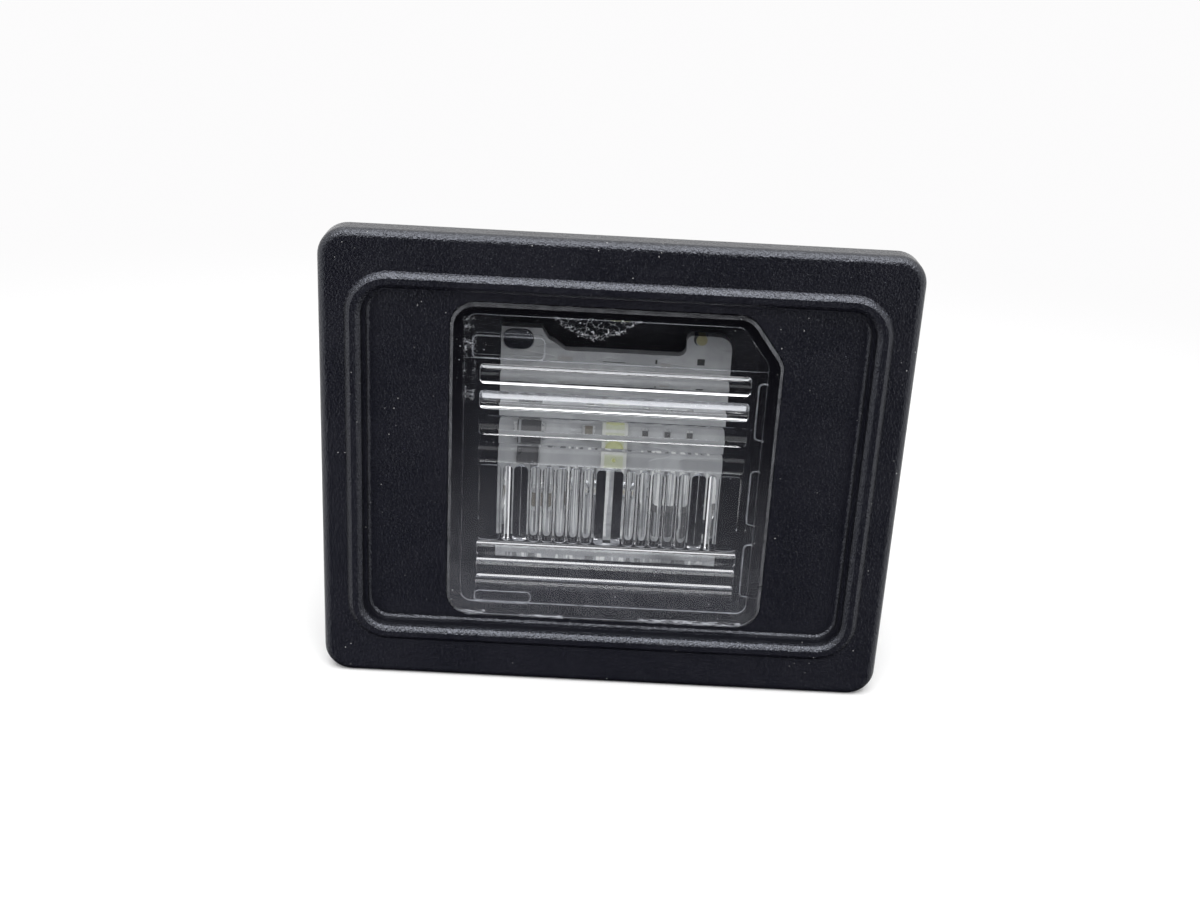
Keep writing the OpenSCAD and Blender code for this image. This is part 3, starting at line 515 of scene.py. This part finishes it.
def led_white():
    """Pale yellowish plastic of the light diode's package, with tinned feet on the board."""
    made, s = material("led_white")
    p = s.place()
    x, y, z = s.split(p)
    low, high = node_box("led_package")
    middle = (low + high) / 2
    board = node_box("circuit_board")[0].y
    cloud = s.noise(p, scale=2.0, detail=3, roughness=0.6)
    foot_front = board - LED_FOOT_HEIGHT
    at_board = s.ramp(y, foot_front - 0.05, foot_front + 0.05)
    feet = s.product(at_board, s.beyond(z, middle.z, high.z - middle.z - LED_FOOT))
    gel = s.box(s.minus(x, middle.x), s.minus(z, middle.z), LED_GEL, soft=0.15)
    colour = s.mix(s.ramp(cloud, 0.3, 0.7), (0.48, 0.485, 0.45, 1), (0.54, 0.545, 0.51, 1))
    colour = s.mix(s.product(gel, 0.75), colour, (0.43, 0.455, 0.29, 1))
    s.finish(s.principled({
        "Base Color": s.mix(feet, colour, grey(0.6)),
        "Metallic": feet,
        "Roughness": s.ramp(cloud, 0.3, 0.7, 0.38, 0.5),
        "Normal": s.bump(cloud, 0.02),
    }))
    return made


def phosphor_yellow():
    """Yellow phosphor gel: grainy, a little deeper in colour towards its rim."""
    made, s = material("phosphor_yellow")
    p = s.place()
    x, z = s.split(p)[::2]
    low, high = node_box("led_phosphor")
    middle = (low + high) / 2
    inner = s.disc(x, z, (middle.x, middle.z), high.x - middle.x, soft=0.5)
    grains = s.noise(p, scale=8.0, detail=3, roughness=0.7)
    colour = s.mix(inner, (0.42, 0.43, 0.21, 1), (0.50, 0.525, 0.30, 1))
    s.finish(s.principled({
        "Base Color": s.mix(s.ramp(grains, 0.3, 0.7, 0.0, 0.35), colour, (0.43, 0.42, 0.17, 1)),
        "Roughness": s.ramp(grains, 0.3, 0.7, 0.28, 0.42),
        "Normal": s.bump(grains, 0.01),
    }))
    return made


def solder_tin():
    """A bright solder cone with slight ripples and brown flux round its foot on the board."""
    made, s = material("solder_tin")
    p = s.place()
    y = s.split(p)[1]
    board = node_box("circuit_board")[0].y
    ripples = s.noise(s.stretch(p, 1, 2.5, 1), scale=2.4, detail=3, roughness=0.6)
    patches = s.ramp(s.noise(p, scale=1.2, detail=2), 0.35, 0.6)
    flux = s.product(s.ramp(y, board - 0.25, board - 0.02), patches)
    s.finish(s.principled({
        "Base Color": s.mix(flux, (0.62, 0.63, 0.64, 1), (0.16, 0.09, 0.03, 1)),
        "Metallic": s.minus(1.0, flux),
        "Roughness": s.ramp(ripples, 0.3, 0.7, 0.16, 0.34),
        "Normal": s.bump(ripples, 0.06),
    }))
    return made


# Seal, clip, terminals and vent
def foam_black():
    """Closed-cell foam: small round cells of uneven size."""
    made, s = material("foam_black")
    p = s.place()
    uneven = s.warp(p, scale=1.5, reach=0.3)
    cells = s.add("ShaderNodeTexVoronoi", {"Vector": uneven, "Scale": 2.6}).outputs["Distance"]
    fine = s.noise(p, scale=7.0, detail=3, roughness=0.7)
    s.finish(s.principled({
        "Base Color": s.mix(s.ramp(cells, 0.1, 0.5), (0.008, 0.008, 0.009, 1), (0.030, 0.030, 0.031, 1)),
        "Roughness": s.ramp(fine, 0.3, 0.7, 0.8, 0.95),
        "Normal": s.bump(s.plus(cells, s.product(fine, 0.3)), 0.16),
    }))
    return made


def metal(name, colour, worn, along, roughness):
    """Rolled metal: fine lines stretched by along, a few scratches and duller patches."""
    made, s = material(name)
    p = s.place()
    lines = s.noise(s.stretch(p, *along), scale=5.0, detail=3, roughness=0.7)
    patches = s.ramp(s.noise(p, scale=0.7, detail=4, roughness=0.65), 0.45, 0.7)
    here_and_there = s.ramp(s.noise(p, scale=0.5, detail=1), 0.45, 0.6)
    scratches = s.product(s.threads(s.warp(p, scale=0.4, reach=1.5), scale=0.5, width=0.012), here_and_there)
    base = s.mix(patches, colour, worn)
    line_roughness = s.ramp(lines, 0.25, 0.75, roughness - 0.07, roughness + 0.08)
    s.finish(s.principled({
        "Base Color": s.mix(s.product(scratches, 0.5), base, darker(colour, 0.5)),
        "Metallic": 1.0,
        "Roughness": s.plus(line_roughness, s.product(patches, 0.12)),
        "Normal": s.bump(s.plus(lines, s.product(scratches, -0.6)), 0.012),
    }))
    return made


def spring_steel():
    return metal("spring_steel", (0.56, 0.57, 0.59, 1), (0.48, 0.48, 0.48, 1), (0.3, 0.3, 4), 0.27)


def tinned_brass():
    return metal("tinned_brass", (0.74, 0.72, 0.67, 1), (0.62, 0.52, 0.33, 1), (4, 0.3, 4), 0.26)


def membrane_white():
    """A felted white film, pressed flatter and greyer in a ring along its edge."""
    made, s = material("membrane_white")
    p = s.place()
    x, z = s.split(p)[::2]
    middle = node_middle("vent_membrane")
    felt = s.warp(p, scale=1.2, reach=0.8)
    fibres = s.plus(
        s.noise(s.stretch(felt, 3.5, 3.5, 0.8), scale=3.0, detail=4, roughness=0.7),
        s.noise(s.stretch(felt, 0.8, 3.5, 3.5), scale=3.0, detail=4, roughness=0.7),
    )
    pressed = s.minus(1.0, s.disc(x, z, (middle.x, middle.z), FILM_R, soft=0.15))
    colour = s.mix(s.ramp(fibres, 0.7, 1.3), (0.66, 0.66, 0.64, 1), (0.80, 0.80, 0.78, 1))
    s.finish(s.principled({
        "Base Color": s.mix(pressed, colour, (0.52, 0.52, 0.51, 1)),
        "Roughness": s.ramp(pressed, 0, 1, 0.85, 0.5),
        "Normal": s.bump(s.minus(s.product(fibres, 0.5), pressed), 0.05),
    }))
    return made


def dress(made, *names):
    """Gives the named nodes a material."""
    for name in names:
        mesh = nodes[name].data
        mesh.materials.clear()
        mesh.materials.append(made)


def dress_all():
    dress(moulded_black(), "housing")
    dress(clear_lens(), "lens")
    dress(foam_black(), "seal")
    dress(spring_steel(), "spring_clip")
    dress(tinned_brass(), "terminal_left", "terminal_right")
    dress(solder_tin(), "solder_left", "solder_right")
    dress(board_white(), "circuit_board")
    dress(led_white(), "led_package")
    dress(phosphor_yellow(), "led_phosphor")
    dress(chip_black(), "driver_chip")
    dress(two_ended("reverse_diode", PART_BLACK, PART_BLACK, axis=0, reach=1.5, band=0.35), "reverse_diode")
    dress(two_ended("surge_diode", PART_BLACK, PART_BLACK, axis=0, reach=1.9, band=0.5), "surge_diode")
    for name in ("resistor_1", "resistor_2", "resistor_3"):
        dress(two_ended(name, PART_BLACK, CERAMIC_PALE, axis=2, reach=0.48), name)
    for name in ("resistor_4", "resistor_5"):
        dress(two_ended(name, PART_BLACK, CERAMIC_PALE, axis=0, reach=0.48), name)
    dress(two_ended("filter_capacitor", PART_TAN, PART_TAN, axis=0, reach=0.48), "filter_capacitor")
    dress(two_ended("input_capacitor", PART_TAN, PART_TAN, axis=2, reach=0.96), "input_capacitor")
    dress(membrane_white(), "vent_membrane")


# Stage and light
def add_stage():
    """A white floor that keeps the lamp's shadow; further off the camera sees it run into the backdrop."""
    height = bounds_at_start[0][2]
    signs = ((-1, -1), (1, -1), (1, 1), (-1, 1))
    corners = [(x * FLOOR_REACH, y * FLOOR_REACH, height) for x, y in signs]
    mesh = bpy.data.meshes.new("floor")
    mesh.from_pydata(corners, [], [(0, 1, 2, 3)])
    floor = bpy.data.objects.new("floor", mesh)
    bpy.context.scene.collection.objects.link(floor)
    floor.visible_glossy = False
    floor.visible_transmission = False
    mesh.materials.append(floor_white())


def floor_white():
    made, s = material("floor_white")
    x, y = s.split(s.place())[:2]
    camera_ray = s.add("ShaderNodeLightPath").outputs["Is Camera Ray"]
    cloth = s.add("ShaderNodeBsdfDiffuse", {"Color": grey(0.9)})
    lift = s.add("ShaderNodeEmission", {"Color": grey(1), "Strength": s.product(camera_ray, FLOOR_LIFT)})
    near = s.add("ShaderNodeAddShader", {0: cloth.outputs[0], 1: lift.outputs[0]})
    far = s.add("ShaderNodeEmission", {"Color": BACKDROP, "Strength": 1.0})
    far_share = s.product(camera_ray, s.ramp(s.hypotenuse(x, y), *FLOOR_FADE))
    s.finish(s.blend(far_share, near.outputs[0], far.outputs[0]))
    return made


def area_light(name, place, size, power):
    """A rectangular lamp that is aimed at the middle of the frame."""
    data = bpy.data.lights.new(name, "AREA")
    data.shape = "RECTANGLE"
    data.size, data.size_y = size
    data.energy = power
    light = bpy.data.objects.new(name, data)
    bpy.context.scene.collection.objects.link(light)
    light.location = place
    light.rotation_euler = (-Vector(place)).to_track_quat("-Z", "Y").to_euler()
    return light


def seen_through_glass(s, x, y, z):
    """The surround that clear parts refract: white, but dark in front."""
    ahead = s.product(s.ramp(y, -0.05, -0.25), s.ramp(s.absolute(x), 0.55, 0.35))
    dark = s.product(s.ramp(z, -0.67, -0.52), s.ramp(z, 0.64, 0.44), ahead)
    return s.mix(dark, BACKDROP, (0.010, 0.010, 0.012, 1))


def mirrored(s, x, y, z):
    """The surround that shiny parts mirror: white at the sides, behind and above, dim in front and below."""
    ahead = s.product(s.ramp(y, 0.1, -0.2), s.ramp(s.absolute(x), 0.62, 0.38), s.ramp(z, 0.7, 0.5))
    below = s.ramp(z, -0.5, -0.75)
    bench = s.product(s.ramp(z, -0.28, -0.52), s.ramp(x, 0.25, -0.1, 0.35, 1.0), s.minus(1.0, below))
    dim = s.mix(bench, (0.018, 0.018, 0.024, 1), (0.42, 0.42, 0.52, 1))
    return s.mix(s.largest(ahead, below), BACKDROP, dim)


def add_light():
    """A soft light above and one in front in an even pale surround."""
    area_light("overhead", **OVERHEAD)
    front_lamp = area_light("front", **FRONT_LAMP)
    front_lamp.visible_transmission = False
    world = bpy.data.worlds.new("world")
    bpy.context.scene.world = world
    s = Shader(world)
    rays = s.add("ShaderNodeLightPath").outputs
    direction = s.split(s.add("ShaderNodeTexCoord").outputs["Generated"])
    shiny = s.math("ADD", rays["Is Glossy Ray"], rays["Is Transmission Ray"], clamp=True)
    shown_share = s.math("ADD", rays["Is Camera Ray"], shiny, clamp=True)
    room = s.mix(rays["Is Transmission Ray"], mirrored(s, *direction), seen_through_glass(s, *direction))
    backdrop = s.mix(rays["Is Camera Ray"], room, BACKDROP)
    lit = s.add("ShaderNodeBackground", {"Color": grey(1), "Strength": ROOM_LIGHT}).outputs[0]
    shown = s.add("ShaderNodeBackground", {"Color": backdrop, "Strength": 1.0}).outputs[0]
    s.add("ShaderNodeOutputWorld", {"Surface": s.blend(shown_share, lit, shown)})


bpy.context.scene.view_settings.view_transform = "Standard"
add_camera()
dress_all()
add_stage()
add_light()
